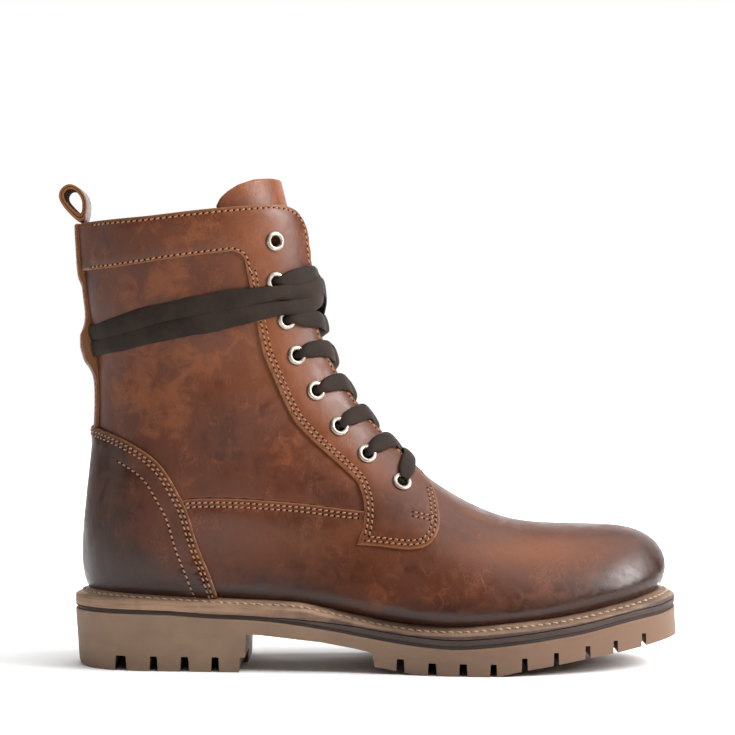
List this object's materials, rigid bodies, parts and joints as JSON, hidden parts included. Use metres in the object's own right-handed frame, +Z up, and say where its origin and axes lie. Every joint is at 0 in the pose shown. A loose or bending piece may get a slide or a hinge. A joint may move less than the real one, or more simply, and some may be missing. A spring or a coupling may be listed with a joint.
{
  "type": "lace-up winter boot",
  "caption": "Right high lace-up leather boot with a lug rubber sole, lined shaft, metal eyelets, rear pull loop and a long wrapped lace.",
  "frame": {"origin": "middle of the boot's footprint box, on the ground", "axes": "+X from heel to toe, +Y towards the inner (medial) side, +Z up"},
  "size_m": [0.3135, 0.1113, 0.2459],
  "materials": {
    "upper_leather": "waxed brown pull-up leather, burnished darker at the toe and heel",
    "tongue_leather": "soft brown leather",
    "lining": "warm tan brushed lining",
    "insulation": "off-white felt batting",
    "fibreboard": "compressed fibreboard",
    "cork": "cork filler paste",
    "shank_steel": "spring steel strip",
    "sole_rubber": "matt tan gum rubber",
    "midsole": "dark brown rubber",
    "welt": "tan welt with pale stitches",
    "footbed": "brushed fabric over foam",
    "lace": "dark brown waxed flat cotton",
    "eyelet_metal": "worn nickel",
    "aglet": "clear-coated dark brown tip"
  },
  "bodies": {
    "boot": {"aglet_a": "aglet", "aglet_b": "aglet", "back_strap": "upper_leather", "cork_filler": "cork", "eyelet_lateral_1": "eyelet_metal", "eyelet_lateral_2": "eyelet_metal", "eyelet_lateral_3": "eyelet_metal", "eyelet_lateral_4": "eyelet_metal", "eyelet_lateral_5": "eyelet_metal", "eyelet_lateral_6": "eyelet_metal", "eyelet_lateral_7": "eyelet_metal", "eyelet_lateral_8": "eyelet_metal", "eyelet_medial_1": "eyelet_metal", "eyelet_medial_2": "eyelet_metal", "eyelet_medial_3": "eyelet_metal", "eyelet_medial_4": "eyelet_metal", "eyelet_medial_5": "eyelet_metal", "eyelet_medial_6": "eyelet_metal", "eyelet_medial_7": "eyelet_metal", "eyelet_medial_8": "eyelet_metal", "eyestay_lateral": "upper_leather", "eyestay_medial": "upper_leather", "heel_counter_cover": "upper_leather", "heel_stiffener": "fibreboard", "insole_board": "fibreboard", "insulation_forefoot": "insulation", "insulation_shaft": "insulation", "lace": "lace", "lining_forefoot": "lining", "lining_shaft": "lining", "midsole": "midsole", "outsole": "sole_rubber", "quarter_lateral": "upper_leather", "quarter_medial": "upper_leather", "steel_shank": "shank_steel", "toe_puff": "fibreboard", "vamp": "upper_leather", "welt": "welt"},
    "pull_loop": {"pull_loop": "upper_leather"},
    "tongue": {"tongue": "tongue_leather"},
    "footbed": {"footbed": "footbed"}
  },
  "joints": [
    {"name": "pull_loop_bend", "type": "hinge", "parent": "boot", "child": "pull_loop", "pos_m": [-0.1456, 0, 0.2262], "axis": [0, 1, 0], "range_deg": [-40, 60], "stiffness_Nm_per_rad": 0.02},
    {"name": "tongue_tilt", "type": "hinge", "parent": "boot", "child": "tongue", "pos_m": [0.017, 0.0014, 0.0944], "axis": [0, -1, 0], "range_deg": [0, 12]},
    {"name": "footbed_lift", "type": "hinge", "parent": "boot", "child": "footbed", "pos_m": [0.1435, 0, 0.0379], "axis": [0, 1, 0], "range_deg": [0, 6]}
  ]
}
